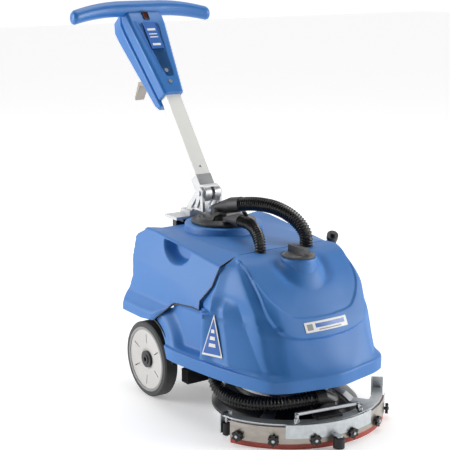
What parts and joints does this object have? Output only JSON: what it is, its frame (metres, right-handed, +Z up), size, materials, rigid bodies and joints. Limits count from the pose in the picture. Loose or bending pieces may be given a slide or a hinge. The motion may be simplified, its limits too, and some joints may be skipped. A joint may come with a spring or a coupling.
{
  "type": "floor scrubber machine",
  "caption": "Compact walk-behind floor scrubber-dryer with a disc brush, curved squeegee, twin tanks and a tilting handle.",
  "frame": {"origin": "on the floor under the middle of the machine's bounding box", "axes": "+X forward from the handle to the squeegee, +Y to the machine's left, +Z up"},
  "size_m": [1.0576, 0.48, 1.0007],
  "materials": {
    "painted_frame": "black powder coat, satin",
    "bright_steel": "zinc-plated steel",
    "blue_tank": "rotomoulded polyethylene, fine stipple, satin",
    "blue_console": "injection-moulded plastic, smooth",
    "black_rubber": "moulded rubber, matte",
    "grey_rubber": "moulded rubber, matte",
    "red_rubber": "oil-resistant polyurethane, matte",
    "black_plastic": "moulded plastic, fine grain",
    "dark_grey_plastic": "moulded plastic, fine grain",
    "grey_plastic": "moulded plastic",
    "white_plastic": "moulded plastic",
    "hose_black": "ribbed flexible hose, satin",
    "motor_metal": "painted motor housing",
    "aluminium": "cast, plain",
    "cast_deck": "cast aluminium, rough",
    "bristle": "nylon bristles",
    "tyre": "grey-black rubber",
    "hub_plastic": "off-white moulded plastic",
    "galvanised": "galvanised steel with spangle",
    "steel_band": "stainless strip",
    "silver_paint": "silver paint, satin",
    "white_paint": "off-white powder coat",
    "label": "printed film with plain bars",
    "switch_red": "glossy rocker",
    "lever_plastic": "grey-brown moulded plastic"
  },
  "bodies": {
    "machine": {"chassis": "painted_frame", "axle": "bright_steel", "solution_tank": "blue_tank", "recovery_tank": "blue_tank", "lid_seal": "black_rubber", "recovery_lid": "black_plastic", "lid_handle": "black_plastic", "big_elbow": "grey_rubber", "small_elbow": "grey_rubber", "big_hose": "hose_black", "small_hose": "hose_black", "float_cage": "grey_plastic", "filler_filter": "bright_steel", "drain_hose": "hose_black", "suction_motor": "motor_metal", "brush_motor": "painted_frame", "water_pump": "grey_plastic", "rear_tray": "black_plastic", "brush_deck": "cast_deck", "pivot_bracket": "silver_paint", "pivot_pin": "bright_steel"},
    "wheel_right": {"tyre_right": "tyre", "rim_right": "hub_plastic", "hub_cap_right": "black_plastic"},
    "wheel_left": {"tyre_left": "tyre", "rim_left": "hub_plastic", "hub_cap_left": "black_plastic"},
    "brush": {"motor_rotor": "motor_metal", "brush_block": "aluminium", "bristles": "bristle"},
    "fan": {"suction_fan": "aluminium"},
    "squeegee": {"swivel_ring": "bright_steel", "squeegee_frame": "galvanised", "squeegee_band": "steel_band", "squeegee_strip": "galvanised", "front_blade": "red_rubber", "rear_blade": "red_rubber", "squeegee_knobs": "black_plastic", "suction_nozzle": "black_plastic", "squeegee_hose": "hose_black", "end_brackets": "galvanised"},
    "roller_right": {"end_roller_right": "black_rubber"},
    "roller_left": {"end_roller_left": "black_rubber"},
    "roller_front": {"guard_roller": "black_rubber"},
    "bail": {"squeegee_bail": "bright_steel"},
    "cap": {"filler_cap": "dark_grey_plastic"},
    "ball": {"float_ball": "white_plastic"},
    "plug": {"drain_plug": "black_plastic"},
    "handle": {"mast_knuckle": "silver_paint", "mast": "white_paint", "console_front": "blue_console", "console_back": "blue_console", "handlebar": "blue_console", "control_label": "label", "switch_frame": "black_plastic", "console_screws": "bright_steel", "cable_gland": "black_plastic"},
    "rod": {"lock_rod": "bright_steel"},
    "rocker": {"power_switch": "switch_red"},
    "lever": {"release_lever": "lever_plastic"}
  },
  "joints": [
    {"name": "handle_tilt", "type": "hinge", "parent": "machine", "child": "handle", "pos_m": [-0.09984, 0, 0.509], "axis": [0, 1, 0], "range_deg": [-30, 37]},
    {"name": "release_lever_press", "type": "hinge", "parent": "handle", "child": "lever", "pos_m": [-0.35647, 0, 0.78642], "axis": [0, -1, 0], "range_deg": [0, 14], "stiffness_Nm_per_rad": 0.8, "springref_deg": -17.19},
    {"name": "lock_rod_lift", "type": "slide", "parent": "handle", "child": "rod", "axis": [-0.6018, 0, 0.7986], "range_m": [0, 0.006]},
    {"name": "power_switch_rock", "type": "hinge", "parent": "handle", "child": "rocker", "pos_m": [-0.42407, 0, 0.96086], "axis": [0, 1, 0], "range_deg": [-16, 0]},
    {"name": "right_wheel_spin", "type": "hinge", "parent": "machine", "child": "wheel_right", "pos_m": [-0.04284, -0.219, 0.1], "axis": [0, 1, 0], "continuous": true},
    {"name": "left_wheel_spin", "type": "hinge", "parent": "machine", "child": "wheel_left", "pos_m": [-0.04284, 0.219, 0.1], "axis": [0, 1, 0], "continuous": true},
    {"name": "brush_spin", "type": "hinge", "parent": "machine", "child": "brush", "pos_m": [0.24616, 0, 0.05], "axis": [0, 0, 1], "continuous": true},
    {"name": "fan_spin", "type": "hinge", "parent": "machine", "child": "fan", "pos_m": [0.08716, 0, 0.18], "axis": [0, 0, 1], "continuous": true},
    {"name": "squeegee_swivel", "type": "hinge", "parent": "machine", "child": "squeegee", "pos_m": [0.24616, 0, 0.08], "axis": [0, 0, 1], "range_deg": [-35, 35]},
    {"name": "front_roller_spin", "type": "hinge", "parent": "squeegee", "child": "roller_front", "pos_m": [0.51481, -0.04255, 0.016], "axis": [0, 0, 1], "continuous": true},
    {"name": "right_roller_spin", "type": "hinge", "parent": "squeegee", "child": "roller_right", "pos_m": [0.31628, -0.22775, 0.027], "axis": [0, 0, 1], "continuous": true},
    {"name": "left_roller_spin", "type": "hinge", "parent": "squeegee", "child": "roller_left", "pos_m": [0.38323, 0.19493, 0.027], "axis": [0, 0, 1], "continuous": true},
    {"name": "bail_swing", "type": "hinge", "parent": "squeegee", "child": "bail", "pos_m": [0.46634, -0.03487, 0.067], "axis": [0.1564, 0.9877, 0], "range_deg": [0, 80]},
    {"name": "filler_cap_turn", "type": "hinge", "parent": "machine", "child": "cap", "pos_m": [0.29516, 0, 0.416], "axis": [0, 0, 1], "range_deg": [0, 90]},
    {"name": "float_rise", "type": "slide", "parent": "machine", "child": "ball", "axis": [0, 0, 1], "range_m": [0, 0.06]},
    {"name": "drain_plug_pull", "type": "slide", "parent": "machine", "child": "plug", "axis": [0.5179, -0.2877, 0.8056], "range_m": [0, 0.03]}
  ],
  "couplings": [
    {"joint": "lock_rod_lift", "follows": "release_lever_press", "m_per_rad": 0.02}
  ]
}
